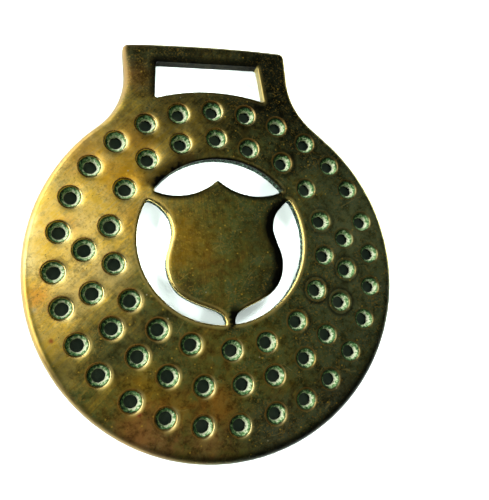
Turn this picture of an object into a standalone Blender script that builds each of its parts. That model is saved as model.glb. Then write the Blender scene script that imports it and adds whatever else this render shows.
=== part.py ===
"""Horse brass: a flat cast disc with a strap loop, rings of dished holes and a pierced shield.

Units are metres. The brass lies on its back: the back is at z = 0, the face looks along +Z and the
strap loop is towards +Y. The origin is on the back, at the middle of the disc, on the shield.
Outlines are lists of vectors (x, y, edge): edge is the width of the rounded front edge at that point.
"""
import math

import bmesh
import bpy
from mathutils import Matrix, Vector
from mathutils.geometry import interpolate_bezier

MM = 0.001

# Casting
THICKNESS = 2.75 * MM
DISC_RADIUS = 43.1 * MM
PATTERN_X = 0.5 * MM          # loop, holes and opening sit this far right of the disc's middle
EDGE_DROP = 0.8               # depth of a rounded edge, as a share of its width
EDGE_STEPS = 3
RIM_EDGE = 1.8 * MM
LOOP_EDGE = 1.2 * MM
SLOT_EDGE = 0.4 * MM
OPENING_EDGE = 0.5 * MM
SHIELD_EDGE = 1.3 * MM
BRIDGE_EDGE = 0.45 * MM

# Strap loop
LOOP_HALF_WIDTH = 20.2 * MM
LOOP_TOP = 55.3 * MM
LOOP_CROWN = 0.6 * MM         # fall of the top edge from its middle to its corners
LOOP_CORNER = 1.6 * MM
LOOP_FLARE = 17.0 * MM        # radius of the hollow curve from the loop into the disc
SLOT_TOP = 50.4 * MM
SLOT_HALF_TOP = 12.6 * MM
SLOT_HALF_FOOT = 13.4 * MM
SLOT_CORNER = 0.7 * MM

# Opening and shield: the shield is joined to the disc by two horns and by its point
OPENING_Y = 6.5 * MM
OPENING_RADIUS = 19.65 * MM
HORN_LOW = 30.0               # degrees up from +X, where the side gaps end on the opening's circle
HORN_HIGH = 37.2              # degrees up from +X, where the top gap ends on it
POINT_HALF_WIDTH = 0.9 * MM
CUSP_Y = 21.2 * MM
GAP_CORNER = 0.8 * MM
CUSP_CORNER = 0.7 * MM
SHIELD_TOP_RADIUS = 14.4 * MM
SHIELD_TILT = 1.2             # degrees clockwise that the shield's sides and horns lean
# Right side of the shield, from the horn down to the point, in mm
SHIELD_SIDE = ((15.0, 14.9), (12.9, 12.3), (12.15, 9.0), (12.7, 6.2), (13.6, 3.3), (13.85, 0.4),
               (13.1, -2.8), (11.2, -5.6), (7.8, -7.8), (3.6, -9.6), (1.6, -11.0))

# Holes: rings of (name, centre y, radius, number, first angle, step), angles clockwise from +Y
HOLE_RINGS = (
    ("outer", 1.5 * MM, 36.75 * MM, 28, 0.0, 360.0 / 28),
    ("middle", 3.75 * MM, 30.6 * MM, 13, 85.5, 15.46),
    ("inner", 6.25 * MM, 25.05 * MM, 18, 0.8, 360.0 / 18),
)
# The holes were placed by hand: how far the worst of them sit off their ring, in mm to the right and up
HOLE_SLIPS = {
    ("outer", 5): (-0.1, 0.7), ("outer", 10): (-0.3, -0.4), ("outer", 11): (-0.4, -0.5),
    ("outer", 13): (0.3, 0.5), ("outer", 18): (-0.4, 0.3), ("outer", 21): (-0.4, -0.4),
    ("middle", 0): (-0.1, -0.5), ("middle", 3): (0.1, -0.7), ("middle", 4): (0.4, -0.3),
    ("middle", 6): (0.5, 0.3), ("middle", 9): (0.5, -0.1), ("middle", 10): (0.5, -0.1),
    ("middle", 12): (-0.2, 1.3),
    ("inner", 1): (-0.7, -0.9), ("inner", 7): (0.0, -0.5), ("inner", 8): (-0.3, -0.4),
    ("inner", 10): (-0.5, 0.5), ("inner", 14): (-0.6, -0.3), ("inner", 16): (-0.3, 0.4),
}
HOLE_SIDES = 14
HOLE_RADIUS = 1.35 * MM
# Dished mouth of a hole, (radius, depth below the face): a soft lip, a cone, then the plain hole
HOLE_PROFILE = ((2.6 * MM, 0.0), (2.1 * MM, 0.32 * MM), (HOLE_RADIUS, 1.15 * MM), (HOLE_RADIUS, THICKNESS))

BRASS_COLOR = (0.40, 0.29, 0.08, 1.0)


def on_circle(centre, radius, degrees, edge):
    angle = math.radians(degrees)
    return Vector((centre[0] + radius * math.cos(angle), centre[1] + radius * math.sin(angle), edge))


def arc(centre, radius, start, end, steps, edge):
    """Points from start to end degrees, both included, counted from +X."""
    return [on_circle(centre, radius, start + (end - start) * i / steps, edge) for i in range(steps + 1)]


def angle_of(centre, point):
    return math.degrees(math.atan2(point[1] - centre[1], point[0] - centre[0]))


def smooth_through(points, steps):
    """A smooth curve through a few points, with steps spans between each two."""
    path = []
    last = len(points) - 1
    for i in range(last):
        before = points[max(i - 1, 0)]
        after = points[min(i + 2, last)]
        start, end = points[i], points[i + 1]
        handle_out = start + (end - before) / 6
        handle_in = end - (after - start) / 6
        path += interpolate_bezier(start, handle_out, handle_in, end, steps + 1)[:-1]
    path.append(points[last])
    return path


def walk(path, index, step, distance):
    """Go along a closed path from a corner; return the point reached and the indices passed."""
    passed = []
    here = path[index]
    left = distance
    i = index
    while True:
        following = path[(i + step) % len(path)]
        length = (following.xy - here.xy).length
        if length > left:
            return here.lerp(following, left / length), passed
        left -= length
        i = (i + step) % len(path)
        passed.append(i)
        here = following


def round_corners(path, corners, cut, steps=4):
    """Replace each corner point of a closed path by a short curve that starts cut before it."""
    curves = {}
    dropped = set()
    for corner in corners:
        index = min(range(len(path)), key=lambda i: (path[i].xy - corner.xy).length)
        start, passed_before = walk(path, index, -1, cut)
        end, passed_after = walk(path, index, 1, cut)
        handles = [place.lerp(path[index], 0.6) for place in (start, end)]
        curves[index] = interpolate_bezier(start, *handles, end, steps + 1)
        dropped.update(passed_before, passed_after)
    result = []
    for i, point in enumerate(path):
        if i in curves:
            result += curves[i]
        elif i not in dropped:
            result.append(point)
    return result


def mirrored(path):
    """The same outline on the other side of the pattern's middle line."""
    return [Vector((2 * PATTERN_X - p.x, p.y, p.z)) for p in path]


def flare_centre(side):
    """Centre of the hollow curve that touches the disc and the loop's side."""
    x = PATTERN_X + side * (LOOP_HALF_WIDTH + LOOP_FLARE)
    return Vector((x, math.sqrt((DISC_RADIUS + LOOP_FLARE) ** 2 - x ** 2)))


def rim_outline():
    """Outside of the casting, anticlockwise from the right-hand flare."""
    right, left = flare_centre(1), flare_centre(-1)
    right_angle, left_angle = angle_of((0, 0), right), angle_of((0, 0), left)
    corner_y = LOOP_TOP - LOOP_CROWN
    crown_radius = (LOOP_HALF_WIDTH ** 2 + LOOP_CROWN ** 2) / (2 * LOOP_CROWN)
    crown_centre = (PATTERN_X, LOOP_TOP - crown_radius)
    crown_half = math.degrees(math.asin(LOOP_HALF_WIDTH / crown_radius))
    path = arc(right, LOOP_FLARE, right_angle - 180, -180, 9, LOOP_EDGE)
    path += arc(crown_centre, crown_radius, 90 - crown_half, 90 + crown_half, 8, LOOP_EDGE)
    path += arc(left, LOOP_FLARE, 0, left_angle - 180, 9, LOOP_EDGE)
    path += arc((0, 0), DISC_RADIUS, left_angle, 360 + right_angle, 72, RIM_EDGE)[1:-1]
    corners = [Vector((PATTERN_X + side * LOOP_HALF_WIDTH, corner_y, 0)) for side in (1, -1)]
    return round_corners(path, corners, LOOP_CORNER)


def slot_outline():
    """Slot for the strap: its foot is the disc's own circle."""
    top = [Vector((PATTERN_X + side * SLOT_HALF_TOP, SLOT_TOP, SLOT_EDGE)) for side in (1, -1)]
    feet = []
    for side in (-1, 1):
        x = PATTERN_X + side * SLOT_HALF_FOOT
        feet.append(Vector((x, math.sqrt(DISC_RADIUS ** 2 - x ** 2), SLOT_EDGE)))
    foot = arc((0, 0), DISC_RADIUS, angle_of((0, 0), feet[0]), angle_of((0, 0), feet[1]), 10, SLOT_EDGE)
    return round_corners(top + foot, top + feet, SLOT_CORNER, 3)


def shield_top(tilt):
    """Right half of the shield's top edge, from the horn to the cusp in the middle."""
    cusp = Vector((PATTERN_X, CUSP_Y, SHIELD_EDGE))
    horn = on_circle((PATTERN_X, OPENING_Y), OPENING_RADIUS, HORN_HIGH - tilt, BRIDGE_EDGE)
    chord = cusp.xy - horn.xy
    rise = math.sqrt(SHIELD_TOP_RADIUS ** 2 - (chord.length / 2) ** 2)
    centre = horn.xy + chord / 2 - chord.orthogonal().normalized() * rise
    start, end = angle_of(centre, horn), angle_of(centre, cusp)
    path = arc(centre, SHIELD_TOP_RADIUS, start, end, 10, SHIELD_EDGE)
    path[0].z = BRIDGE_EDGE
    path[1].z = (BRIDGE_EDGE + SHIELD_EDGE) / 2
    return path


def top_gap_outline():
    """Crescent above the shield."""
    centre = (PATTERN_X, OPENING_Y)
    right = shield_top(SHIELD_TILT)
    left = mirrored(shield_top(-SHIELD_TILT))[::-1]
    left_angle, right_angle = angle_of(centre, left[-1]), angle_of(centre, right[0])
    circle = arc(centre, OPENING_RADIUS, left_angle, right_angle, 16, OPENING_EDGE)
    path = right + left[1:] + circle[1:-1]
    path = round_corners(path, [right[0], left[-1]], GAP_CORNER)
    return round_corners(path, [right[-1]], CUSP_CORNER)


def side_gap_outline(tilt):
    """Crescent to the right of the shield, which leans tilt degrees clockwise about its point."""
    centre = (PATTERN_X, OPENING_Y)
    point_angle = -math.degrees(math.acos(POINT_HALF_WIDTH / OPENING_RADIUS))
    circle = arc(centre, OPENING_RADIUS, point_angle, HORN_LOW - tilt, 24, OPENING_EDGE)
    point = Vector((PATTERN_X, OPENING_Y - OPENING_RADIUS, SHIELD_EDGE))
    lean = Matrix.Rotation(math.radians(-tilt), 3, "Z")
    knots = []
    for x, y in SHIELD_SIDE:
        reach = Vector((x * MM, y * MM - point.y, 0))
        knots.append(point + lean @ reach)
    knots[0].z = (BRIDGE_EDGE + SHIELD_EDGE) / 2
    knots[-2].z = SHIELD_EDGE * 0.8
    knots[-1].z = SHIELD_EDGE / 2
    ends = [circle[-1].copy(), circle[0].copy()]
    for end in ends:
        end.z = BRIDGE_EDGE
    side = smooth_through([ends[0]] + knots + [ends[1]], 2)
    path = circle + side[1:-1]
    return round_corners(path, [circle[0], circle[-1]], GAP_CORNER)


def hole_centres():
    for name, centre_y, radius, count, first, step in HOLE_RINGS:
        for i in range(count):
            angle = math.radians(first + step * i)
            slip = Vector(HOLE_SLIPS.get((name, i), (0, 0))) * MM
            yield Vector((PATTERN_X, centre_y)) + Vector((math.sin(angle), math.cos(angle))) * radius + slip


def inward(path, i, side):
    """Direction from the edge into the metal, stretched so that an offset keeps its width."""
    before, here, after = path[i - 1].xy, path[i].xy, path[(i + 1) % len(path)].xy
    first = (here - before).normalized()
    second = (after - here).normalized()
    normal = Vector((-first.y - second.y, first.x + second.x)).normalized() * side
    return normal / max(abs(normal.dot(Vector((-first.y, first.x)))), 0.5)


def signed_area(path):
    return sum(path[i - 1].x * p.y - p.x * path[i - 1].y for i, p in enumerate(path)) / 2


def add_rings(bm, rings):
    """Join rings of coordinates with faces; return the edges of the first and the last ring."""
    levels = [[bm.verts.new(co) for co in ring] for ring in rings]
    for lower, upper in zip(levels, levels[1:]):
        for i in range(len(lower)):
            bm.faces.new((lower[i - 1], lower[i], upper[i], upper[i - 1]))
    ends = (levels[0], levels[-1])
    return [[bm.edges.get((ring[i - 1], ring[i])) for i in range(len(ring))] for ring in ends]


def edge_rings(path, metal_inside):
    """Rings of one outline: a straight wall from the back, then the rounded front edge."""
    side = 1 if (signed_area(path) > 0) == metal_inside else -1
    normals = [inward(path, i, side) for i in range(len(path))]
    rings = [[Vector((p.x, p.y, 0)) for p in path]]
    for step in range(EDGE_STEPS + 1):
        angle = math.radians(90) * step / EDGE_STEPS
        ring = []
        for p, normal in zip(path, normals):
            place = p.xy + normal * p.z * (1 - math.cos(angle))
            ring.append(Vector((place.x, place.y, THICKNESS - EDGE_DROP * p.z * (1 - math.sin(angle)))))
        rings.append(ring)
    return rings


def hole_rings(centre):
    """Rings of one dished hole, from the back to the face."""
    rings = []
    for radius, depth in reversed(HOLE_PROFILE):
        ring = [on_circle(centre, radius, 360 * i / HOLE_SIDES, THICKNESS - depth) for i in range(HOLE_SIDES)]
        rings.append(ring)
    return rings


def brass_material():
    material = bpy.data.materials.new("aged_brass")
    material.use_nodes = True
    shader = material.node_tree.nodes["Principled BSDF"]
    shader.inputs["Base Color"].default_value = BRASS_COLOR
    shader.inputs["Metallic"].default_value = 1.0
    shader.inputs["Roughness"].default_value = 0.38
    return material


def horse_brass():
    bm = bmesh.new()
    left_gap = mirrored(side_gap_outline(-SHIELD_TILT))
    outlines = [edge_rings(rim_outline(), True)]
    for path in (slot_outline(), top_gap_outline(), side_gap_outline(SHIELD_TILT), left_gap):
        outlines.append(edge_rings(path, False))
    outlines += [hole_rings(centre) for centre in hole_centres()]
    back_edges, face_edges = [], []
    for rings in outlines:
        back, face = add_rings(bm, rings)
        back_edges += back
        face_edges += face
    for edges, normal in ((back_edges, (0, 0, -1)), (face_edges, (0, 0, 1))):
        bmesh.ops.triangle_fill(bm, use_beauty=True, use_dissolve=False, edges=edges, normal=normal)
    bmesh.ops.recalc_face_normals(bm, faces=bm.faces)
    mesh = bpy.data.meshes.new("horse_brass")
    bm.to_mesh(mesh)
    bm.free()
    mesh.shade_smooth()
    mesh.set_sharp_from_angle(angle=math.radians(35))
    mesh.materials.append(brass_material())
    piece = bpy.data.objects.new("horse_brass", mesh)
    bpy.context.scene.collection.objects.link(piece)


for leftover in list(bpy.data.objects):
    bpy.data.objects.remove(leftover, do_unlink=True)
horse_brass()
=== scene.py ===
import math
import random
from functools import partial

import bmesh
import bpy
from mathutils import Matrix, Vector, kdtree, noise
from mathutils.geometry import delaunay_2d_cdt, interpolate_bezier


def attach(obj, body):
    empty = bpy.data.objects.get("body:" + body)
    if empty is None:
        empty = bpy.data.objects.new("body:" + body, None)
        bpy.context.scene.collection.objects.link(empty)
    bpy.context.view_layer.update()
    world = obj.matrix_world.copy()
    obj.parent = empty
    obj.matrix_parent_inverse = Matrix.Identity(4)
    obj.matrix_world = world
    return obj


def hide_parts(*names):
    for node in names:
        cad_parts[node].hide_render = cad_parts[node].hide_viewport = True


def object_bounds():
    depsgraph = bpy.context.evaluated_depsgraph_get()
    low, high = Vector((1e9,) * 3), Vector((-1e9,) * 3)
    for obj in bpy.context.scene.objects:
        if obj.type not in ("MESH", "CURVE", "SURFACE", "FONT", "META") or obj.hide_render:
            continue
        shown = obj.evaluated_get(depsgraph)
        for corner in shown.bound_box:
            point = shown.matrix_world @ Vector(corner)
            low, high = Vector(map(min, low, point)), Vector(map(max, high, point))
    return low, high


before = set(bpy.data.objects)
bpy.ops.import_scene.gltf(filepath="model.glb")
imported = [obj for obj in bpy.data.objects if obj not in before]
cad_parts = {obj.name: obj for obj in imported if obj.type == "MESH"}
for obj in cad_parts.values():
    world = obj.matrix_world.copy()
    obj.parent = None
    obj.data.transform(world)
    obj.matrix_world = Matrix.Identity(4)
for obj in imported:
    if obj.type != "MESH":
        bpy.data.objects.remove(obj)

mm = 0.001
cadLow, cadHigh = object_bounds()
print("frame loaded, thickness", round(cadHigh.z / mm, 2), "mm")

# Everything about the casting is in mm: the back lies at z = 0, the loop points to +y
casting = {
    "thickness": cadHigh.z / mm,
    "discRadius": 43.1,
    "patternX": 0.5,            # loop, holes and opening sit this far right of the disc's middle
    "edgeDrop": 0.8,            # depth of a rounded edge as a share of its width
    "backEdge": 0.18,
    "rimEdge": 1.8,
    "loopEdge": 1.2,
    "loopLeftEdge": 2.0,
    "slotEdge": 0.25,
    "openingEdge": 0.5,
    "shieldEdge": 1.05,
    "bridgeEdge": 0.45,
    "cornerPull": 0.6,          # how far the handles of a rounded corner reach towards it
    "softReach": 6,             # points on each side that an edge's width is averaged with
    "spacing": 0.5,             # between points along an outline
    "fineSpacing": 0.12,        # and along the copy that tells the nearest edge
    "bandAngles": (15, 30, 45, 60, 75, 90),     # steps of a rounded edge, in degrees
    "bandRoom": 0.9,            # share of its inset that a point of these steps keeps from every edge
    "faceGrid": 0.62,
    "faceRoom": 0.3,            # between the grid and the rounded edges or lips
    "backGrid": 1.3,
    "backRoom": 0.9,            # between the back's grid and an edge
    "farFromEdge": 9.0,         # distances from an edge are told up to here
    "rimSide": (-10.0, 6.0),    # the left rim starts at this x, and is all there so much further left
    "sharpAngle": 50,
    "waviness": ((16.0, 0.09), (5.0, 0.025)),   # (size, depth) of the slow swells of a worn casting
    "wallLevels": (0.0, 0.06, 0.25, 0.45, 0.65, 0.85, 1.0),
    "wallRoughness": 0.05,
    "wallNoise": (0.7, 4),      # size round the wall, and swells over its height
    "wallCrust": (0.35, 0.0, 0.7, 1.0, 1.0),    # on the rim, slot, top, right and left gap
    "backRoughness": 0.07,
    "backNoise": 2.5,
}
loop = {
    "halfWidth": 20.2,
    "top": 55.3,
    "crown": 0.6,
    "corner": 1.6,
    "flare": 17.0,
    "slotTop": 50.4,
    "slotHalfTop": 12.6,
    "slotHalfFoot": 13.4,
    "slotCorner": 0.7,
}
shield = {
    "openingY": 6.5,
    "openingRadius": 19.65,
    "hornLow": 30.0,            # degrees up from +x, where the side gaps end on the opening's circle
    "hornHigh": 37.2,
    "pointHalfWidth": 0.9,
    "cuspY": 21.2,
    "gapCorner": 0.8,
    "cuspCorner": 0.7,
    "topRadius": 14.4,
    "tilt": 1.2,                # degrees clockwise
    "bridgeSteps": 4,           # points over which an edge widens from the bridge to the shield
    "sideSteps": 7,             # points from one knot of the side to the next
    "pointShare": 0.8,          # of the shield's edge near its point
    "side": ((15.0, 14.9), (12.9, 12.3), (12.15, 9.0), (12.7, 6.2), (13.6, 3.3), (13.85, 0.4),
             (13.1, -2.8), (11.2, -5.6), (7.8, -7.8), (3.6, -9.6), (1.6, -11.0)),
}
holes = {
    # ring: centre y, radius, number, first angle, step; angles run clockwise from +y
    "rings": {
        "outer": (1.5, 36.75, 28, 0.0, 360 / 28),
        "middle": (3.75, 30.6, 13, 85.5, 15.46),
        "inner": (6.25, 25.05, 18, 0.8, 20),
    },
    # the worst of the holes that were set by hand: how far they sit off their ring, right and up
    "slips": {
        "outer": {5: (-0.1, 0.7), 10: (-0.3, -0.4), 11: (-0.4, -0.5), 13: (0.3, 0.5), 18: (-0.4, 0.3),
                  21: (-0.4, -0.4)},
        "middle": {0: (-0.1, -0.5), 3: (0.1, -0.7), 4: (0.4, -0.3), 6: (0.5, 0.3), 9: (0.5, -0.1),
                   10: (0.5, -0.1), 12: (-0.2, 1.3)},
        "inner": {1: (-0.7, -0.9), 7: (0.0, -0.5), 8: (-0.3, -0.4), 10: (-0.5, 0.5), 14: (-0.6, -0.3),
                  16: (-0.3, 0.4)},
    },
    "sides": 40,
    "lipReach": 4.0,            # the face starts to fall this far from a hole's centre
    "lipDrop": 0.078,           # and has fallen this much at the first ring of the section
    "lipLean": 1.1,             # more towards the lit side
    "litSideTowards": (0.914, -0.407),
    "lipShare": (6.0, 22.0, 0.35),      # from one x to the next the fall dwindles to this share
    "lipMost": 2.6,             # lips that lie close together add up to no more than this
    "leastReach": 0.1,          # closer to a hole's centre the sides run into each other
    # section of a hole, (radius, depth): shoulder, dished cone, crusted edge, bore
    "section": ((2.58, 0.0), (2.5, 0.02), (2.42, 0.08), (2.33, 0.2), (2.23, 0.36), (2.12, 0.53), (1.98, 0.67),
                (1.83, 0.82), (1.69, 0.95), (1.58, 1.05), (1.51, 1.14), (1.47, 1.26), (1.44, 1.55),
                (1.41, 2.0), (1.41, 2.5)),
    "backRadius": 1.52,
    # rings of loose points round a hole, the first on the back, the rest on the face
    "lipRings": (1.8, 2.75, 2.92, 3.12, 3.38, 3.7),
    "lipSides": 36,
    "lipSlack": 0.01,           # one that lies nearer to another hole than this allows is left out
    "backRoom": 2.3,            # between the back's grid and a hole's centre
    "sizeSpread": 0.04,         # share by which a rim is larger or smaller than the next
    "sizeSwing": 1.2,           # the difference is gone again above the bore
    "rimWobble": 0.012,
    "rimOnset": 5,              # it is all there at a fifth of the way down
    "boreWobble": 0.06,
    "boreOnset": 3,             # power of the way down
    "boreWaves": (2, 3, 5, 7),
    "boreShare": 0.6,           # of all the waves together
    "seed": 7,
}


def arcPoints(centre, radius, start, end, width):
    steps = max(2, math.ceil(abs(math.radians(end - start)) * radius / casting["spacing"]))
    points = []
    for i in range(steps + 1):
        angle = math.radians(start + (end - start) * i / steps)
        points.append(Vector((centre[0] + radius * math.cos(angle), centre[1] + radius * math.sin(angle), width)))
    return points


def angleOf(centre, point):
    return math.degrees(math.atan2(point[1] - centre[1], point[0] - centre[0]))


def smoothThrough(points, steps):
    path = []
    last = len(points) - 1
    for i in range(last):
        before, after = points[max(i - 1, 0)], points[min(i + 2, last)]
        start, end = points[i], points[i + 1]
        handles = start + (end - before) / 6, end - (after - start) / 6
        path += interpolate_bezier(start, *handles, end, steps + 1)[:-1]
    path.append(points[last])
    return path


def walk(path, index, step, distance):
    passed = []
    here, left, i = path[index], distance, index
    while True:
        following = path[(i + step) % len(path)]
        length = (following.xy - here.xy).length
        if length > left:
            return here.lerp(following, left / length), passed
        left -= length
        i = (i + step) % len(path)
        passed.append(i)
        here = following


def roundCorners(path, corners, cut, steps=5):
    curves, dropped = {}, set()
    for corner in corners:
        index = min(range(len(path)), key=lambda i: (path[i].xy - corner.xy).length)
        start, passedBefore = walk(path, index, -1, cut)
        end, passedAfter = walk(path, index, 1, cut)
        handles = [place.lerp(path[index], casting["cornerPull"]) for place in (start, end)]
        curves[index] = interpolate_bezier(start, *handles, end, steps + 1)
        dropped.update(passedBefore, passedAfter)
    result = []
    for i, point in enumerate(path):
        if i in curves:
            result += curves[i]
        elif i not in dropped:
            result.append(point)
    return result


def evenPath(path, spacing):
    # long spans get points between their ends
    result = []
    for i, point in enumerate(path):
        following = path[(i + 1) % len(path)]
        count = max(1, round((following.xy - point.xy).length / spacing))
        result += [point.lerp(following, k / count) for k in range(count)]
    return result


def softWidths(path, reach):
    # the edge's width changes little by little
    result = []
    for i, p in enumerate(path):
        total = sum(path[(i + k) % len(path)].z for k in range(-reach, reach + 1))
        result.append(Vector((p.x, p.y, total / (2 * reach + 1))))
    return result


def mirrored(path):
    return [Vector((2 * casting["patternX"] - p.x, p.y, p.z)) for p in path]


def flareCentre(side):
    x = casting["patternX"] + side * (loop["halfWidth"] + loop["flare"])
    return Vector((x, math.sqrt((casting["discRadius"] + loop["flare"]) ** 2 - x ** 2)))


def rimOutline():
    right, left = flareCentre(1), flareCentre(-1)
    rightAngle, leftAngle = angleOf((0, 0), right), angleOf((0, 0), left)
    crownRadius = (loop["halfWidth"] ** 2 + loop["crown"] ** 2) / (2 * loop["crown"])
    crownCentre = (casting["patternX"], loop["top"] - crownRadius)
    crownHalf = math.degrees(math.asin(loop["halfWidth"] / crownRadius))
    path = arcPoints(right, loop["flare"], rightAngle - 180, -180, casting["loopEdge"])
    path += arcPoints(crownCentre, crownRadius, 90 - crownHalf, 90 + crownHalf, casting["loopEdge"])
    path += arcPoints(left, loop["flare"], 0, leftAngle - 180, casting["loopLeftEdge"])
    path += arcPoints((0, 0), casting["discRadius"], leftAngle, 360 + rightAngle, casting["rimEdge"])[1:-1]
    corners = [Vector((casting["patternX"] + side * loop["halfWidth"], loop["top"] - loop["crown"], 0))
               for side in (1, -1)]
    return roundCorners(path, corners, loop["corner"])


def slotOutline():
    top, feet = [], []
    for side in (1, -1):
        x = casting["patternX"] + side * loop["slotHalfTop"]
        top.append(Vector((x, loop["slotTop"], casting["slotEdge"])))
    for side in (-1, 1):
        x = casting["patternX"] + side * loop["slotHalfFoot"]
        feet.append(Vector((x, math.sqrt(casting["discRadius"] ** 2 - x ** 2), casting["slotEdge"])))
    foot = arcPoints((0, 0), casting["discRadius"], angleOf((0, 0), feet[0]), angleOf((0, 0), feet[1]),
                     casting["slotEdge"])
    return roundCorners(top + foot, top + feet, loop["slotCorner"], steps=4)


def shieldTop(tilt):
    cusp = Vector((casting["patternX"], shield["cuspY"], casting["shieldEdge"]))
    horn = arcPoints((casting["patternX"], shield["openingY"]), shield["openingRadius"],
                     shield["hornHigh"] - tilt, shield["hornHigh"], casting["bridgeEdge"])[0]
    chord = cusp.xy - horn.xy
    rise = math.sqrt(shield["topRadius"] ** 2 - (chord.length / 2) ** 2)
    centre = horn.xy + chord / 2 - chord.orthogonal().normalized() * rise
    path = arcPoints(centre, shield["topRadius"], angleOf(centre, horn), angleOf(centre, cusp),
                     casting["shieldEdge"])
    steps = shield["bridgeSteps"]
    for i in range(steps):
        path[i].z = casting["bridgeEdge"] + (casting["shieldEdge"] - casting["bridgeEdge"]) * i / steps
    return path


def topGapOutline():
    centre = (casting["patternX"], shield["openingY"])
    right = shieldTop(shield["tilt"])
    left = mirrored(shieldTop(-shield["tilt"]))[::-1]
    circle = arcPoints(centre, shield["openingRadius"], angleOf(centre, left[-1]), angleOf(centre, right[0]),
                       casting["openingEdge"])
    path = roundCorners(right + left[1:] + circle[1:-1], [right[0], left[-1]], shield["gapCorner"])
    return roundCorners(path, [right[-1]], shield["cuspCorner"])


def sideGapOutline(tilt):
    centre = (casting["patternX"], shield["openingY"])
    pointAngle = -math.degrees(math.acos(shield["pointHalfWidth"] / shield["openingRadius"]))
    circle = arcPoints(centre, shield["openingRadius"], pointAngle, shield["hornLow"] - tilt,
                       casting["openingEdge"])
    point = Vector((casting["patternX"], shield["openingY"] - shield["openingRadius"], casting["shieldEdge"]))
    lean = Matrix.Rotation(math.radians(-tilt), 3, "Z")
    knots = [point + lean @ Vector((x, y - point.y, 0)) for x, y in shield["side"]]
    knots[0].z = (casting["bridgeEdge"] + casting["shieldEdge"]) / 2
    knots[-2].z = casting["shieldEdge"] * shield["pointShare"]
    knots[-1].z = casting["shieldEdge"] / 2
    ends = [circle[-1].copy(), circle[0].copy()]
    for end in ends:
        end.z = casting["bridgeEdge"]
    side = smoothThrough([ends[0]] + knots + [ends[1]], shield["sideSteps"])
    return roundCorners(circle + side[1:-1], [circle[0], circle[-1]], shield["gapCorner"])


def holeCentres():
    for name, (centreY, radius, count, first, step) in holes["rings"].items():
        for i in range(count):
            angle = math.radians(first + step * i)
            slip = holes["slips"][name].get(i, (0, 0))
            yield Vector((casting["patternX"] + radius * math.sin(angle) + slip[0],
                          centreY + radius * math.cos(angle) + slip[1]))


outlines = [rimOutline(), slotOutline(), topGapOutline(), sideGapOutline(shield["tilt"]),
            mirrored(sideGapOutline(-shield["tilt"]))]
outlines = [softWidths(evenPath(path, casting["spacing"]), casting["softReach"]) for path in outlines]
print("outlines:", [len(path) for path in outlines], "points")


def inwardNormals(path, metalInside):
    area = sum(path[i - 1].x * p.y - p.x * path[i - 1].y for i, p in enumerate(path))
    side = 1 if (area > 0) == metalInside else -1
    normals = []
    for i, p in enumerate(path):
        along = (path[(i + 1) % len(path)].xy - path[i - 1].xy).normalized()
        normals.append(Vector((-along.y, along.x)) * side)
    return normals


# painted shade on edges that face some ways, standing in for the dark side of the room that they face, with a
# little dirt:
# angle, how far off it still reaches in degrees, strength and reach in mm, for the rim, slot, top, right and left
# gap
paintedEdgeShade = (
    ((300, 60, 1.0, 2.8), (75, 50, 0.35, 1.3)),
    ((310, 80, 1.0, 2.0), (90, 40, 0.35, 1.2)),
    ((310, 40, 0.9, 4.2), (265, 65, 1.0, 0.7), (85, 50, 0.85, 1.6), (180, 40, 0.8, 0.8)),
    ((355, 60, 1.4, 3.2),),
    ((0, 40, 0.3, 0.6),),
)
edgeShadeSpread = 0.6           # the lower, the more evenly the painted shade fills its angle

# the nearest point of any outline, and how wide the rounded edge is there
edgePoints, edgeShadeShares = [], []
for number, (path, gathered) in enumerate(zip(outlines, paintedEdgeShade)):
    fine = evenPath(path, casting["fineSpacing"])
    edgePoints += fine
    # each point's share of painted edge shade, from how squarely its edge faces each listed way
    for normal in inwardNormals(fine, number == 0):
        dirtAndShade = []
        for angle, spread, strength, reach in gathered:
            towards = Vector((math.cos(math.radians(angle)), math.sin(math.radians(angle))))
            least = math.cos(math.radians(spread))
            share = max(0, -normal.dot(towards) - least) / (1 - least)
            dirtAndShade.append((strength * share ** edgeShadeSpread, reach))
        edgeShadeShares.append(dirtAndShade)
    if number == 0:
        rimCount = len(edgePoints)
edgeTree = kdtree.KDTree(len(edgePoints))
for i, p in enumerate(edgePoints):
    edgeTree.insert((p.x, p.y, 0), i)
edgeTree.balance()


def nearestEdge(x, y):
    place, index, distance = edgeTree.find((x, y, 0))
    return distance, edgePoints[index].z


centres = list(holeCentres())
holeTree = kdtree.KDTree(len(centres))
for i, centre in enumerate(centres):
    holeTree.insert((centre.x, centre.y, 0), i)
holeTree.balance()


def litSide(x, y, centre, reach):
    # which side of its hole a point lies on: 1 on the side that faces the window, where the lip falls further and
    # its colour is painted lit, -1 across from it
    return (Vector((x, y)) - centre.xy).dot(Vector(holes["litSideTowards"])) / max(reach, holes["leastReach"])


def lipFall(x, y):
    # how far the face has fallen towards the holes round a point
    reach, start = holes["lipReach"], holes["section"][0][0]
    fall = 0
    for place, index, distance in holeTree.find_range((x, y, 0), reach):
        lean = 1 + holes["lipLean"] * litSide(x, y, place, distance)
        fall += lean * min(1, (reach - distance) / (reach - start)) ** 2
    low, high, least = holes["lipShare"]
    share = 1 - (1 - least) * min(1, max(0, (x - low) / (high - low)))
    return holes["lipDrop"] * share * min(max(fall, 0), holes["lipMost"])


def swell(x, y):
    # slow hollows of a worn casting, 0 or more
    total = 0
    for size, depth in casting["waviness"]:
        total += depth * (0.5 + 0.5 * noise.noise((x / size, y / size, size)))
    return total


def faceHeight(x, y):
    distance, width = nearestEdge(x, y)
    inner = max(0, 1 - distance / width)
    edgeFall = casting["edgeDrop"] * width * (1 - math.sqrt(1 - inner ** 2))
    return casting["thickness"] - edgeFall - swell(x, y) - lipFall(x, y)


points, faces = [], []
marks = {"bowlDepth": [], "bowlTone": [], "holeReach": [], "edgeDistance": [], "crust": [], "grime": [],
         "bowlLitSide": [], "rimSide": []}
chance = random.Random(holes["seed"])
tones = [chance.random() for centre in centres]


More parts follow.
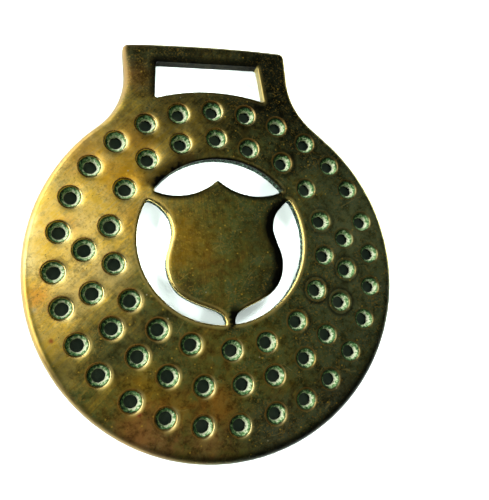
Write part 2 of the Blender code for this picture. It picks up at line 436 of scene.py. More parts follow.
def addPoint(x, y, z, bowlDepth=0.0, edgeDistance=casting["farFromEdge"], crust=0.0):
    points.append((x * mm, y * mm, max(0.0, z) * mm))
    place, nearest, reach = holeTree.find((x, y, 0))
    side = litSide(x, y, place, reach)
    edge, index, distance = edgeTree.find((x, y, 0))
    # painted edge shade: full on the walls, fading across the face over its reach
    grime = 0.0
    for strength, far in edgeShadeShares[index]:
        fade = 1.0 if edgeDistance < 0 else max(0, 1 - distance / far)
        grime = max(grime, strength * fade * (2 - fade))
    start, width = casting["rimSide"]
    onRim = min(1, max(0, (start - edge.x) / width)) if index < rimCount else 0.0
    for name, value in zip(marks, (bowlDepth, tones[nearest], reach, edgeDistance, crust, grime, side, onRim)):
        marks[name].append(value)
    return len(points) - 1


def joinRings(lower, upper):
    for i in range(len(lower)):
        faces.append((lower[i - 1], lower[i], upper[i], upper[i - 1]))


def fillBetween(rings, inside, makePoint):
    # triangles between closed rings of points that exist, over loose points given as (x, y)
    flat = [Vector(points[i][:2]) / mm for ring in rings for i in ring]
    known = [i for ring in rings for i in ring]
    bounds, start = [], 0
    for ring in rings:
        bounds.append(list(range(start, start + len(ring))))
        start += len(ring)
    found = delaunay_2d_cdt(flat + [Vector(p) for p in inside], [], bounds, 2, 1e-7)
    places, triangles, sources = found[0], found[2], found[3]
    index = {}
    for triangle in triangles:
        for corner in triangle:
            if corner not in index:
                source = sources[corner][0]
                index[corner] = known[source] if source < len(known) else makePoint(*places[corner])
        faces.append([index[corner] for corner in triangle])


def gridPoints(spacing, room):
    # staggered grid over the metal: room(x, y) says whether a point fits
    radius, rowStep = casting["discRadius"], spacing * math.sqrt(3) / 2
    rows = round((loop["top"] + radius) / rowStep)
    columns = round(2 * radius / spacing)
    for row in range(rows + 1):
        for column in range(columns + 1):
            x = -radius + (column + 0.5 * (row % 2)) * spacing
            y = -radius + row * rowStep
            if room(x, y):
                yield x, y


def boreWobble(angle, phases):
    waves = zip(holes["boreWaves"], phases)
    return sum(math.sin(k * angle + phase) / k for k, phase in waves) * holes["boreShare"]


# Holes, each a stack of rings from the shoulder down to the back, and loose points round their lips
faceRings, backRings, lipPoints, backLipPoints = [], [], [], []
shoulder, boreRadius = holes["section"][0][0], holes["section"][-1][0]
for centre in centres:
    grow = chance.uniform(-1, 1) * holes["sizeSpread"]
    phases = [chance.uniform(0, 2 * math.pi) for wave in holes["boreWaves"]]
    lipPhase = chance.uniform(0, 2 * math.pi)
    previous = None
    for radius, depth in holes["section"] + ((holes["backRadius"], casting["thickness"]),):
        down = min(1, max(0, (shoulder - radius) / (shoulder - boreRadius)))
        ring = []
        for k in range(holes["sides"]):
            angle = 2 * math.pi * k / holes["sides"]
            wobble = holes["rimWobble"] * math.sin(2 * angle + lipPhase) * min(1, down * holes["rimOnset"])
            wobble += holes["boreWobble"] * down ** holes["boreOnset"] * boreWobble(angle, phases)
            reach = radius * (1 + grow * math.sin(math.pi * min(down * holes["sizeSwing"], 1)) + wobble)
            x, y = centre.x + reach * math.cos(angle), centre.y + reach * math.sin(angle)
            z = 0.0
            if depth < casting["thickness"]:
                z = faceHeight(x, y) - depth
            ring.append(addPoint(x, y, z, bowlDepth=depth))
        if previous:
            joinRings(ring, previous)
        else:
            faceRings.append(ring)
        previous = ring
    backRings.append(previous)
    for radius in holes["lipRings"]:
        loose = backLipPoints if radius < shoulder else lipPoints
        for k in range(holes["lipSides"]):
            angle = 2 * math.pi * k / holes["lipSides"]
            x, y = centre.x + radius * math.cos(angle), centre.y + radius * math.sin(angle)
            ownHole = holeTree.find((x, y, 0))[2] > radius - holes["lipSlack"]
            if ownHole and nearestEdge(x, y)[0] > casting["faceRoom"]:
                loose.append((x, y))
print("holes:", len(centres))

# Walls of the rim, slot and gaps, then the loose points that round the front edges
bandPoints = []
for number, path in enumerate(outlines):
    normals = inwardNormals(path, number == 0)
    rough = casting["wallCrust"][number]
    size, swells = casting["wallNoise"]
    previous = None
    for share in casting["wallLevels"]:
        ring = []
        for p, normal in zip(path, normals):
            top = casting["thickness"] - casting["edgeDrop"] * p.z - swell(p.x, p.y)
            inset = casting["backEdge"] if share == 0 else 0.0
            if 0 < share < 1:
                pits = noise.fractal((p.x / size, p.y / size, share * swells), 1.0, 2.0, 3)
                inset = casting["wallRoughness"] * rough * (1 + pits)
            place = p.xy + normal * inset
            ring.append(addPoint(place.x, place.y, top * share, edgeDistance=(share - 1) * top, crust=rough))
        if previous:
            joinRings(previous, ring)
        else:
            backRings.append(ring)
        previous = ring
    faceRings.append(previous)
    for angle in casting["bandAngles"]:
        for p, normal in zip(path, normals):
            inset = p.z * (1 - math.cos(math.radians(angle)))
            place = p.xy + normal * inset
            if nearestEdge(*place)[0] > inset * casting["bandRoom"]:
                bandPoints.append(tuple(place))


def inMetal(x, y):
    inside = False
    for path in outlines:
        for i, p in enumerate(path):
            before = path[i - 1]
            if (p.y > y) != (before.y > y) and x < (before.x - p.x) * (y - p.y) / (before.y - p.y) + p.x:
                inside = not inside
    return inside


def onFace(x, y):
    distance, width = nearestEdge(x, y)
    room = casting["faceRoom"]
    return distance > width + room and holeTree.find((x, y, 0))[2] > holes["lipReach"] + room and inMetal(x, y)


def onBack(x, y):
    offHole = holeTree.find((x, y, 0))[2] > holes["backRoom"]
    return offHole and nearestEdge(x, y)[0] > casting["backRoom"] and inMetal(x, y)


def facePoint(x, y):
    distance = nearestEdge(x, y)[0]
    return addPoint(x, y, faceHeight(x, y), edgeDistance=min(distance, casting["farFromEdge"]))


def backPoint(x, y):
    size = casting["backNoise"]
    rise = casting["backRoughness"] * (0.5 + 0.5 * noise.noise((x / size, y / size, 3.0)))
    return addPoint(x, y, rise, edgeDistance=min(nearestEdge(x, y)[0], casting["farFromEdge"]))


fillBetween(faceRings, bandPoints + lipPoints + list(gridPoints(casting["faceGrid"], onFace)), facePoint)
fillBetween(backRings, backLipPoints + list(gridPoints(casting["backGrid"], onBack)), backPoint)
mesh = bpy.data.meshes.new("brassCasting")
mesh.from_pydata(points, [], faces)
bm = bmesh.new()
bm.from_mesh(mesh)
bmesh.ops.recalc_face_normals(bm, faces=bm.faces)
openEdges = sum(not edge.is_manifold for edge in bm.edges)
bm.to_mesh(mesh)
bm.free()
for name, values in marks.items():
    mesh.attributes.new(name, "FLOAT", "POINT").data.foreach_set("value", values)
mesh.shade_smooth()
mesh.set_sharp_from_angle(angle=math.radians(casting["sharpAngle"]))
brassCasting = bpy.data.objects.new("brassCasting", mesh)
bpy.context.scene.collection.objects.link(brassCasting)
print("casting:", len(mesh.vertices), "points,", sum(len(p.vertices) - 2 for p in mesh.polygons), "triangles,",
      openEdges, "open edges")


def toLinear(hexColour):
    values = [int(hexColour[i:i + 2], 16) / 255 for i in (1, 3, 5)]
    return [v / 12.92 if v <= 0.04045 else ((v + 0.055) / 1.055) ** 2.4 for v in values] + [1]


def addNode(tree, kind, inputs=(), output=None, stops=(), **settings):
    # adds a node with its settings and links, and hands back the socket that it gives
    node = tree.nodes.new("ShaderNode" + kind)
    for name, value in settings.items():
        setattr(node, name, value)
    for socket, value in (inputs.items() if isinstance(inputs, dict) else enumerate(inputs)):
        if isinstance(value, bpy.types.NodeSocket):
            tree.links.new(value, node.inputs[socket])
        else:
            node.inputs[socket].default_value = toLinear(value) if isinstance(value, str) else value
    for i, (place, colour) in enumerate(stops):
        elements = node.color_ramp.elements
        element = elements[i] if i < 2 else elements.new(place)
        element.position, element.color = place, toLinear(colour)
    if output is None:
        return next(socket for socket in node.outputs if socket.enabled)
    return node.outputs[output]


# Yellow brass, sand cast, polished for years and then left: a warm satin metal, brightest on its edges
# and where hands rub it, under a brown and olive tarnish that dulls it, with verdigris in the holes
brassLook = {
    "polished": "#E6C04A",
    "wornAndHighlight": "#F0D37C",
    "lipRing": "#B98A45",
    # painted highlight, on the lips of the holes and on the left rim
    "lipBright": "#FFF0A8",
    "rimTan": "#6E5836",
    "copper": "#D8986A",
    "ash": "#62645A",
    "smokeAndShade": "#464A38",          # thin grey film on the loop, partly painted shade
    "haze": "#626C50",
    # tarnish from brown to dark green, placed along a 0 to 1 noise
    "tarnish": ((0.0, "#72562C"), (0.3, "#826E30"), (0.5, "#7A7634"), (0.7, "#727A40"), (1.0, "#647048")),
    "patch": "#5C6440",          # darker spots in the film
    # dark colour for dirt, and for the painted shade on edges and in the holes
    "dirtAndShade": "#15140E",
    "pit": "#1C1A10",
    "fleck": "#A88A40",
    "gold": "#D29A14",
    "straw": "#E4CE84",
    "lime": "#B4B45A",
    "moss": "#8A9064",
    "olive": "#4E5A38",
    "ochre": "#B87830",
    "amber": "#F0A030",
    "rust": "#9A4030",
    # dark umber film, partly tarnish and partly painted shade over the top and right of the piece
    "umber": "#23271C",
    "chalk": "#C9C29A",
    # from a hole's edge inwards: dark crust, deep and mid green, pale powder, pale crust on the edge of the bore
    # that is partly a painted highlight, dark bore that is painted shade; the two ends come first
    "verdigris": ((0.08, "#2C3018"), (1.0, "#141A14"), (0.16, "#26402A"), (0.26, "#568650"), (0.38, "#A0C484"),
                  (0.44, "#ECF4CE"), (0.6, "#ECF4CE"), (0.75, "#141A14")),
    "crustDark": "#0F1A16",
    "crustPale": "#7FA98C",
    # size in mm, detail, roughness and distortion of each noise
    "noises": {
        "cloud": (15.0, 3.0, 0.55, 0.0),
        "mottle": (4.0, 5.0, 0.6, 0.8),
        "spot": (2.4, 6.0, 0.65, 0.3),
        "blotch": (1.6, 4.0, 0.65, 0.4),
        "grain": (0.5, 3.0, 0.7, 0.0),
        "ragged": (0.6, 4.0, 0.65, 0.0),
        "scour": (0.42, 2.0, 0.6, 0.0),
        "crust": (0.45, 2.0, 0.6, 0.0),
    },
    # how much of each noise goes into the tarnish, into its hue and into the darker spots
    "tarnishNoise": (("cloud", 0.6), ("mottle", 0.8), ("blotch", 0.6), ("grain", 1.3), ("streaks", 0.9)),
    "hueNoise": (("cloud", 0.75), ("mottle", 1.2), ("blotch", 0.6), ("spot", 0.5)),
    "spotNoise": (("blotch", 0.5), ("grain", 0.5)),
    "hazeNoise": (("mottle", 14.0),),
    "tarnishLean": -0.6,         # mm that the tarnish starts further right for each mm up
    "smokeShare": 0.65,
    "shieldBlend": (2.0, 1.0),   # mm inside the opening between which the shield's streaks take over
    "streakSize": (0.35, 9.0),
    "slant": -48.0,              # degrees
    "scratchCell": 17.0,
    "scratchBend": 5.0,
    "bendSize": 12.0,
    # where each mask starts and ends, then its strength at both when that isn't 0 and 1
    "fades": {
        "offBack": (0.02, 0.12),             # height
        "discTarnish": (-36.0, -4.0),        # across
        "loopTarnish": (30.0, 50.0),         # up
        "tarnish": (2.1, 2.95),
        "hue": (0.0, 30.0, -1.0, -0.75),
        "haze": (12.0, 34.0, 0.0, 0.6),
        "polish": (0.8, 1.25),
        "spots": (0.83, 1.08, 0.75, 0.0),
        "tarnishSpots": (0.0, 0.6, 0.22, 1.0),
        "shieldSpots": (0.0, 1.0, 1.0, 0.7),
        "scratch": (0.0015, 0.006, 0.25, 0.0),
        "scratchZone": (0.5, 0.6),
        "scour": (0.55, 0.63),
        "scourZone": (0.85, 1.15, 0.05, 0.7),
        "golden": (-10.0, 6.0, 0.8, 0.0),    # across the shield
        "specks": (0.55, 0.62),
        "speckHeight": (-8.0, 8.0, 0.15, 0.8),
        "speckZone": (0.44, 0.56),
        "rubbed": (0.1, 1.1, 0.9, 0.0),      # from the edge
        "rubbedClean": (0.0, 0.5, 1.0, 0.0),
        "rubbedLoop": (22.0, 40.0, 1.0, 0.5),
        "rubbedRim": (0.0, 1.0, 1.0, 0.35),
        "tan": (0.5, 1.4, 0.9, 0.0),
        "ringStart": (2.32, 2.42, 0.0, 0.65),    # ring, glow and halo: from a hole's centre
        "ringEnd": (2.68, 2.85, 1.0, 0.0),
        "ringAcross": (10.0, 26.0, 1.0, 0.3),
        "brightSide": (0.1, 0.7),
        "brightAcross": (0.0, 20.0, 1.0, 0.1),
        "glowStart": (2.5, 2.65),
        "glowEnd": (2.75, 3.35, 0.85, 0.0),
        "glowSide": (0.0, 0.8),
        "glowAcross": (-28.0, 12.0, 1.0, 0.0),
        "haloStart": (2.9, 3.1, 0.0, 0.7),
        "haloEnd": (3.3, 4.0, 1.0, 0.0),
        "haloHoles": (0.5, 0.62),
        "haloAcross": (12.0, 20.0),
        "grime": (0.06, 0.9),
        "verdigrisLeft": (0.0, 0.5, 0.1, 0.0),
        "line": (0.18, 0.3),                 # down a hole
        "lineSide": (-0.95, -0.3, 0.8, 0.2),
        "lineLeft": (0.0, 0.4, 0.15, 1.0),
        "inHole": (0.3, 0.38),
        "wall": (-0.1, -0.45),               # down a wall
        "wallGrime": (-0.05, -0.3),
        "wallFlecks": (0.52, 0.62),
    },
    "leeShadeBase": 0.5,
    "raggedDepth": 0.4,          # mm by which noise shifts the colours of a hole up and down
    "raggedShade": 2.6,
    "verdigrisLitShift": (0.45, -0.1, 0.17),      # painted light: shift towards pale on the lit side, over the whole hole, and across from it
    "verdigrisDepth": 2.75,
    # cell size and dot radius in mm, share of cells left clear, colour, strength
    "dots": ((0.9, 0.1, 0.72, "pit", 0.6), (0.7, 0.07, 0.72, "gold", 0.8), (1.2, 0.12, 0.78, "polished", 0.7),
             (2.2, 0.06, 0.80, "chalk", 0.8)),
    "dotEdge": 1.6,              # a dot has faded out at so many radii
    "dotChoice": 0.02,
    "polishRoughness": 0.30,
    "tarnishRoughness": 0.42,
    "rubbedRoughness": 0.22,
    "mattRoughness": 0.9,
    "roughnessSpread": 0.15,
    "powderShine": 0.2,          # only the powder and dirt have it, the metal keeps its own
    "tarnishMetal": 0.9,
    "bump": 0.015,               # mm
    "bumpNoise": (("blotch", 2.0),),
    "bloomEdge": (0.6, 1.5),     # shares of its radius between which a bloom fades
    # (x, y) and radius in mm, colour and strength of each bloom
    "blooms": (
        ((-31.0, 5.0), 8.0, "straw", 0.3), ((-25.0, 1.0), 7.0, "straw", 0.7),
        ((-33.0, -4.0), 7.0, "straw", 0.6), ((-30.0, 12.0), 6.0, "straw", 0.4),
        ((-21.0, 22.0), 8.0, "gold", 0.8), ((-19.0, 12.0), 6.0, "gold", 0.5), ((-7.0, 6.0), 9.0, "gold", 0.35),
        ((-10.5, 10.0), 6.0, "gold", 0.4), ((-11.5, 3.0), 6.0, "gold", 0.3), ((-40.0, -4.0), 4.0, "amber", 0.6),
        ((-33.5, 11.0), 3.5, "amber", 0.35), ((-30.0, 28.0), 9.0, "ochre", 0.4),
        ((-17.0, -2.0), 5.0, "lime", 0.45), ((-20.0, -25.0), 8.0, "gold", 0.4),
        ((-25.0, -16.0), 9.0, "olive", 0.75), ((-20.0, -4.0), 7.0, "olive", 0.35),
        ((-27.0, -10.5), 6.0, "olive", 0.3), ((-16.0, -14.0), 8.0, "olive", 0.8),
        ((-12.0, -22.0), 6.0, "olive", 0.4), ((-36.0, -19.0), 6.0, "olive", 0.6),
        ((-18.0, 1.0), 3.0, "olive", 0.4), ((-18.0, 31.0), 8.0, "gold", 0.5), ((2.0, 30.0), 7.0, "olive", 0.5),
        ((35.0, 8.0), 14.0, "moss", 0.5), ((30.0, -8.0), 9.0, "moss", 0.3),
        ((-20.0, -36.0), 10.0, "copper", 0.45), ((-7.0, -38.0), 8.0, "copper", 0.25),
        ((-22.0, -33.0), 9.0, "ochre", 0.4), ((8.0, -38.0), 12.0, "ash", 0.5), ((24.0, -33.0), 9.0, "ash", 0.4),
        ((-4.0, -30.0), 6.5, "ochre", 0.4), ((-4.0, -30.0), 6.5, "amber", 0.2),
        # the two lipBright blooms near x -42 paint the highlight on the left rim
        ((-13.0, -30.0), 6.0, "amber", 0.25), ((-42.5, 11.0), 5.0, "lipBright", 0.7),
        ((-42.0, 4.0), 5.0, "lipBright", 0.6), ((-29.0, -19.0), 7.0, "olive", 0.35),
        # the umber blooms are partly tarnish and partly painted shade
        ((-31.0, 31.0), 7.0, "umber", 0.4), ((-24.0, 38.0), 7.0, "umber", 0.45),
        ((-37.5, 22.0), 5.0, "umber", 0.25), ((-17.0, 50.0), 7.0, "umber", 0.35),
        ((8.5, 8.0), 8.0, "umber", 0.4), ((10.0, -6.0), 9.0, "umber", 0.5), ((-9.0, -6.5), 7.0, "olive", 0.6),
        ((-19.5, -6.5), 5.0, "olive", 0.5), ((-17.0, 31.0), 6.0, "ochre", 0.3),
        ((14.0, 40.0), 8.0, "umber", 0.7), ((21.0, 45.0), 8.0, "umber", 0.5), ((-7.0, 41.0), 7.0, "umber", 0.4),
        ((2.5, 41.0), 6.0, "olive", 0.4), ((10.0, 39.0), 8.0, "umber", 0.6),
        ((-14.5, -11.5), 5.0, "olive", 0.6), ((3.0, -37.0), 7.0, "olive", 0.5),
        ((21.0, -30.0), 8.0, "umber", 0.3), ((-17.0, 46.0), 6.0, "ochre", 0.35),
        ((-7.0, 27.0), 4.0, "ochre", 0.4), ((-9.0, 47.0), 6.0, "umber", 0.6), ((-6.0, 54.0), 9.0, "umber", 0.6),
        ((-12.0, 36.0), 8.0, "umber", 0.5), ((0.0, 18.0), 7.0, "umber", 0.4),
        ((17.0, 38.0), 10.0, "umber", 0.6), ((18.0, 26.0), 8.0, "umber", 0.5),
        ((4.0, 37.0), 15.0, "umber", 0.6), ((16.0, 50.0), 14.0, "umber", 0.85),
        ((26.0, 42.0), 15.0, "umber", 0.8), ((12.0, 25.0), 6.0, "umber", 0.5),
        ((22.0, 31.0), 10.0, "umber", 0.6), ((31.0, 27.0), 7.0, "umber", 0.5), ((8.0, 32.0), 8.0, "umber", 0.5),
        ((14.5, 16.5), 6.0, "umber", 0.7), ((33.0, -32.0), 13.0, "umber", 0.4),
        ((12.5, 0.0), 5.0, "umber", 0.4), ((-8.0, 36.0), 12.0, "umber", 0.22),
        ((-21.0, 33.0), 9.0, "umber", 0.15), ((0.5, -13.0), 4.0, "umber", 0.5),
        ((-37.5, -13.2), 0.9, "rust", 0.8), ((-20.9, -29.9), 1.0, "rust", 0.9),
        ((-40.5, -6.6), 0.9, "chalk", 0.6),
    ),
}


def brassMaterial():
    look = brassLook
    material = bpy.data.materials.new("agedCastBrass")
    material.use_nodes = True
    tree = material.node_tree
    shader = tree.nodes["Principled BSDF"]
    add = partial(addNode, tree)

    def calc(operation, *values):
        return add("Math", values, operation=operation)

    def fade(name, value, **settings):
        return add("MapRange", (value, *look["fades"][name]), **settings)

    def limited(mask, *limits):
        for limit in limits:
            mask = calc("MULTIPLY", mask, limit)
        return mask

    def uneven(value, *noises):
        # adds each named noise times its share
        for name, share in noises:
            value = calc("MULTIPLY_ADD", film[name], share, value)
        return value

    def blend(mask, under, over):
        return add("Mix", {0: mask, 2: under, 3: over})

    def painted(under, mask, over, **settings):
        return add("Mix", {0: mask, 6: under, 7: over}, data_type="RGBA", **settings)

    place = add("VectorMath", {0: add("TexCoord", output="Object"), "Scale": 1 / mm}, operation="SCALE")
    x, y, z = (add("SeparateXYZ", (place,), axis) for axis in "XYZ")
    offBack = fade("offBack", z)
    mark = {name: add("Attribute", output="Fac", attribute_name=name) for name in marks}
    film = {}
    for name, (size, detail, rough, distortion) in look["noises"].items():
        film[name] = add("TexNoise", {"Vector": place, "Scale": 1 / size, "Detail": detail, "Roughness": rough,
                                      "Distortion": distortion})

    # polishing streaks: up and down the shield, slanting across the disc
    middle = (casting["patternX"], shield["openingY"], casting["thickness"])
    fromShield = add("VectorMath", (place, middle), operation="DISTANCE")
    inner, outer = (shield["openingRadius"] - room for room in look["shieldBlend"])
    onShield = add("MapRange", (fromShield, inner, outer, 1.0, 0.0))
    ways = []
    for turn in (look["slant"], 0.0):
        along = add("Mapping", {"Vector": place, "Rotation": (0, 0, math.radians(turn)),
                                "Scale": (*look["streakSize"], 1)}, vector_type="TEXTURE")
        ways.append(add("TexNoise", {"Vector": along, "Scale": 1.0, "Detail": 2.0}))
    film["streaks"] = blend(onShield, *ways)

    # tarnish is thin on the left of the disc and heavy on the loop
    across = calc("MULTIPLY_ADD", y, look["tarnishLean"], x)
    side = fade("discTarnish", across, interpolation_type="SMOOTHSTEP")
    upper = fade("loopTarnish", y, interpolation_type="SMOOTHSTEP")
    tarnish = fade("tarnish", uneven(calc("MAXIMUM", side, upper), *look["tarnishNoise"]))
    hue = uneven(fade("hue", x), *look["hueNoise"])
    tarnishColour = add("ValToRGB", (hue,), stops=look["tarnish"])
    tarnishColour = painted(tarnishColour, fade("haze", uneven(x, *look["hazeNoise"])), look["haze"])
    tarnishColour = painted(tarnishColour, limited(upper, look["smokeShare"]), look["smokeAndShade"])
    polish = fade("polish", calc("ADD", film["streaks"], film["mottle"]))
    metal = painted(painted(look["polished"], polish, look["wornAndHighlight"]), tarnish, tarnishColour)
    for centre, radius, name, strength in look["blooms"]:
        reach = add("VectorMath", (place, (*centre, casting["thickness"])), operation="DISTANCE")
        full, gone = (radius * share for share in look["bloomEdge"])
        bloom = add("MapRange", (uneven(reach, ("blotch", radius)), full, gone, strength, 0.0),
                    interpolation_type="SMOOTHSTEP")
        metal = painted(metal, bloom, look[name])

    # the film is never even: darker spots, fine bent scratches, bright grains where it has been scoured,
    # golden specks on the shield
    spots = fade("spots", uneven(film["spot"], *look["spotNoise"]))
    spots = limited(spots, fade("tarnishSpots", tarnish), fade("shieldSpots", onShield))
    metal = painted(metal, spots, look["patch"], blend_type="MULTIPLY")
    bend = add("TexNoise", {"Vector": place, "Scale": 1 / look["bendSize"]}, "Color")
    bend = add("VectorMath", {0: bend, "Scale": look["scratchBend"]}, operation="SCALE")
    bend = add("VectorMath", (place, bend), operation="ADD")
    scratch = add("TexVoronoi", {"Vector": bend, "Scale": 1 / look["scratchCell"]}, feature="DISTANCE_TO_EDGE")
    scratch = limited(fade("scratch", scratch), fade("scratchZone", film["mottle"]))
    metal = painted(metal, scratch, look["wornAndHighlight"])
    golden = limited(onShield, fade("golden", x))
    zone = calc("MAXIMUM", fade("scourZone", calc("ADD", film["cloud"], film["mottle"])), golden)
    metal = painted(metal, limited(fade("scour", film["scour"]), zone), look["fleck"])
    specks = limited(fade("specks", film["ragged"]), golden, fade("speckHeight", y),
                     fade("speckZone", film["blotch"]))
    metal = painted(metal, specks, look["polished"])
    for cell, radius, clear, name, strength in look["dots"]:
        cells = {"Vector": place, "Scale": 1 / cell}
        dot = add("TexVoronoi", cells, "Distance")
        dot = add("MapRange", (dot, radius, radius * look["dotEdge"], strength, 0.0))
        chosen = add("SeparateColor", (add("TexVoronoi", cells, "Color"),), "Red")
        chosen = add("MapRange", (chosen, clear, clear + look["dotChoice"]))
        metal = painted(metal, limited(dot, chosen), look[name])

    # edges are rubbed bright, less so on the left rim; the lips of the holes get a ring of their own colour, with
    # a painted highlight on one side
    rubbed = limited(fade("rubbed", mark["edgeDistance"]), fade("rubbedClean", mark["grime"]), offBack,
                     fade("rubbedLoop", y), fade("rubbedRim", mark["rimSide"]))
    metal = painted(metal, rubbed, look["wornAndHighlight"])
    tan = limited(fade("tan", mark["edgeDistance"]), mark["rimSide"], offBack)
    metal = painted(metal, tan, look["rimTan"])
    ring = limited(fade("ringStart", mark["holeReach"]), fade("ringEnd", mark["holeReach"]),
                   fade("ringAcross", x), offBack)
    # painted highlight: the lip ring turns pale on the side that faces the window, most on the holes to the left
    lipHighlight = limited(fade("brightSide", mark["bowlLitSide"]), fade("brightAcross", x))
    metal = painted(metal, ring, painted(look["lipRing"], lipHighlight, look["lipBright"]))
    # painted highlight: outside the ring the slope turns pale on the side that faces the window, most on the
    # holes to the left
    glow = limited(fade("glowEnd", mark["holeReach"], interpolation_type="SMOOTHSTEP"),
                   fade("glowStart", mark["holeReach"]), fade("glowSide", mark["bowlLitSide"]),
                   fade("glowAcross", x), offBack)
    metal = painted(metal, glow, look["wornAndHighlight"])
    # a few holes on the right stand in a dark halo
    halo = limited(fade("haloStart", mark["holeReach"]), fade("haloEnd", mark["holeReach"]),
                   fade("haloHoles", mark["bowlTone"]), fade("haloAcross", x), offBack)
    metal = painted(metal, halo, look["dirtAndShade"])
    # painted shade on the edges that face right and down and on their walls, with a little dirt, mottled by a
    # noise
    grime = fade("grime", limited(uneven(look["leeShadeBase"], ("spot", 1.0)), mark["grime"]))
    metal = painted(metal, grime, look["dirtAndShade"])

    # verdigris, patchy, palest on the edge of the bore, under a dark line where the polish stops, partly dirt and
    # partly painted shade
    ragged = calc("SUBTRACT", film["ragged"], 0.5)
    depth = calc("MULTIPLY_ADD", ragged, look["raggedDepth"], mark["bowlDepth"])
    # painted light: the verdigris runs paler on the side of each hole that faces the window, and on the holes on
    # the left
    near, whole, opposite = look["verdigrisLitShift"]
    lean = calc("MULTIPLY_ADD", mark["bowlLitSide"], near, whole)
    lean = calc("MAXIMUM", lean, limited(mark["bowlLitSide"], opposite))
    lean = calc("ADD", lean, fade("verdigrisLeft", side))
    shade = calc("MULTIPLY_ADD", ragged, look["raggedShade"], calc("ADD", depth, lean))
    green = add("ValToRGB", (calc("DIVIDE", shade, look["verdigrisDepth"]),), stops=look["verdigris"])
    # painted shade: the dark line is strongest on the side away from the window, and weaker on the holes on the
    # left
    line = limited(fade("line", depth), fade("lineSide", mark["bowlLitSide"]), fade("lineLeft", side))
    metal = painted(metal, line, look["dirtAndShade"])
    inHole = fade("inHole", depth)
    colour = painted(metal, inHole, green)
    # old polish and dirt crust the walls
    wall = limited(fade("wall", mark["edgeDistance"]), mark["crust"])
    flecks = painted(look["crustDark"], fade("wallFlecks", film["crust"]), look["crustPale"])
    colour = painted(colour, wall, flecks)
    shadedWall = limited(fade("wallGrime", mark["edgeDistance"]), grime)
    matt = calc("MAXIMUM", inHole, calc("MAXIMUM", wall, shadedWall))

    keen = calc("MAXIMUM", calc("SUBTRACT", rubbed, mark["rimSide"]), ring)
    roughness = blend(tarnish, look["polishRoughness"], look["tarnishRoughness"])
    roughness = blend(keen, roughness, look["rubbedRoughness"])
    roughness = uneven(roughness, ("blotch", look["roughnessSpread"]))
    roughness = calc("SUBTRACT", roughness, look["roughnessSpread"] / 2)
    roughness = blend(matt, roughness, look["mattRoughness"])
    metallic = calc("MAXIMUM", blend(tarnish, 1.0, look["tarnishMetal"]), grime)
    metallic = blend(matt, metallic, 0.0)
    relief = uneven(film["grain"], *look["bumpNoise"])
    relief = add("Bump", {"Height": relief, "Distance": look["bump"] * mm})
    shader.inputs["Specular IOR Level"].default_value = look["powderShine"]
    for socket, value in (("Base Color", colour), ("Roughness", roughness), ("Metallic", metallic),
                          ("Normal", relief)):
        tree.links.new(value, shader.inputs[socket])
    return material


mesh.materials.append(brassMaterial())
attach(brassCasting, "root")
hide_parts("horse_brass")
print("brass finished")

# Pale matt card under a low window on the left; the brass has its own share of it and a softer light above
stage = {
    "floorSize": 3.0,           # m
    "floorDrop": 0.01,          # mm below the brass
    "floorColour": "#858E8A",
    "floorRoughness": 0.9,
    "roomDark": ("#5A6878", 0.01),      # colour and strength of the room low on the right
    "roomLight": ("#9CCFC0", 0.12),     # and overhead on the window's side
    "roomTowards": (-0.50, 0.25, 0.83),
    # name: place and aim in m, size in m, watts, colour, and what it lights
    "lights": {
        "window": ((-0.78, 0.34, 0.36), (0.0, 0.0, 0.0), (1.5, 0.7), 16.0, "#FFFFFF", "brass"),
        "highWindow": ((-0.07, 0.17, 0.80), (-0.07, 0.17, 0.0), (0.22, 0.16), 0.30, "#FFF6E8", "brass"),
        "highPane": ((-0.30, 0.38, 0.80), (-0.30, 0.38, 0.0), (0.30, 0.34), 0.78, "#FFFFFF", "brass"),
        "footGlow": ((0.10, -0.16, 0.80), (0.10, -0.16, 0.0), (0.30, 0.25), 0.12, "#FFE0B8", "brass"),
        "sideGlow": ((0.48, 0.16, 0.80), (0.48, 0.16, 0.0), (0.30, 0.30), 0.13, "#E8F0D8", "brass"),
        "ceiling": ((0.15, 0.05, 1.2), (0.15, 0.05, 0.0), (1.3, 1.3), 0.3, "#D8E4EC", "brass"),
        "cardWindow": ((-0.80, 0.32, 0.41), (0.0, 0.0, 0.0), (1.0, 0.16), 90.0, "#FFFFFF", "card"),
        "cardRight": ((0.80, -0.32, 0.41), (0.0, 0.0, 0.0), (1.0, 0.16), 80.0, "#FFFFFF", "card"),
        "cardTop": ((0.3, 0.80, 0.41), (0.0, 0.0, 0.0), (1.0, 0.16), 80.0, "#FFFFFF", "card"),
        "cardFoot": ((-0.3, -0.80, 0.41), (0.0, 0.0, 0.0), (1.0, 0.16), 80.0, "#FFFFFF", "card"),
        "cardCorner": ((0.59, 0.59, 0.41), (0.0, 0.0, 0.0), (0.8, 0.16), 80.0, "#FFFFFF", "card"),
    },
    "viewTransform": "Standard",
    "cameraPlace": (-31.38, -19.99, 133.56),    # mm
    "cameraTurn": (12.04, -18.20, -6.35),       # degrees
    "lens": 42.48,
    "sensor": 36,
    "shift": (-0.0759, -0.0086),
    "nearest": 0.01,            # m
}


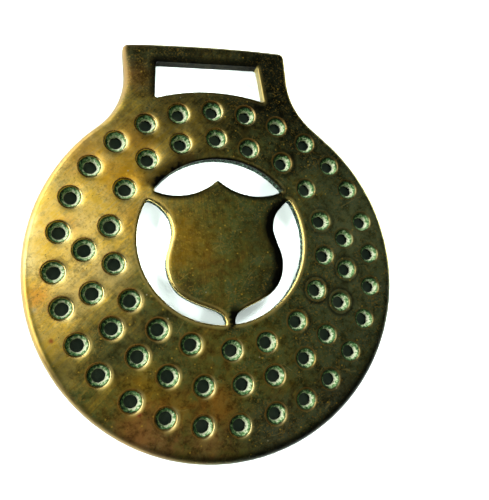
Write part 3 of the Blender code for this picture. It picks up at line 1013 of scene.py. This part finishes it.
def makeStage():
    bpy.ops.mesh.primitive_plane_add(size=stage["floorSize"], location=(0, 0, -stage["floorDrop"] * mm))
    floor = bpy.context.object
    floor.name = "floor"
    material = bpy.data.materials.new("paleCard")
    material.use_nodes = True
    shader = material.node_tree.nodes["Principled BSDF"]
    shader.inputs["Base Color"].default_value = toLinear(stage["floorColour"])
    shader.inputs["Roughness"].default_value = stage["floorRoughness"]
    floor.data.materials.append(material)
    world = bpy.data.worlds.new("room")
    world.use_nodes = True
    tree = world.node_tree
    direction = addNode(tree, "TexCoord", output="Generated")
    share = addNode(tree, "VectorMath", (direction, Vector(stage["roomTowards"]).normalized()),
                    operation="DOT_PRODUCT")
    colour = addNode(tree, "Mix", {0: share, 6: stage["roomDark"][0], 7: stage["roomLight"][0]}, data_type="RGBA")
    strength = addNode(tree, "Mix", {0: share, 2: stage["roomDark"][1], 3: stage["roomLight"][1]})
    background = tree.nodes["Background"]
    tree.links.new(colour, background.inputs["Color"])
    tree.links.new(strength, background.inputs["Strength"])
    bpy.context.scene.world = world
    bpy.context.scene.view_settings.view_transform = stage["viewTransform"]
    lit = {"brass": bpy.data.collections.new("litBrass"), "card": bpy.data.collections.new("litCard")}
    lit["brass"].objects.link(brassCasting)
    lit["card"].objects.link(floor)
    for name, (place, aim, size, power, colour, receiver) in stage["lights"].items():
        light = bpy.data.lights.new(name, "AREA")
        light.shape = "RECTANGLE"
        light.size, light.size_y = size
        light.energy = power
        light.color = toLinear(colour)[:3]
        lamp = bpy.data.objects.new(name, light)
        lamp.location = place
        lamp.rotation_euler = (Vector(aim) - Vector(place)).to_track_quat("-Z", "Y").to_euler()
        bpy.context.scene.collection.objects.link(lamp)
        lamp.light_linking.receiver_collection = lit[receiver]


def makeCamera():
    data = bpy.data.cameras.new("camera")
    data.lens = stage["lens"]
    data.sensor_width = stage["sensor"]
    data.shift_x, data.shift_y = stage["shift"]
    data.clip_start = stage["nearest"]
    camera = bpy.data.objects.new("camera", data)
    camera.location = Vector(stage["cameraPlace"]) * mm
    camera.rotation_euler = [math.radians(turn) for turn in stage["cameraTurn"]]
    bpy.context.scene.collection.objects.link(camera)
    bpy.context.scene.camera = camera


makeStage()
makeCamera()
print("stage set")
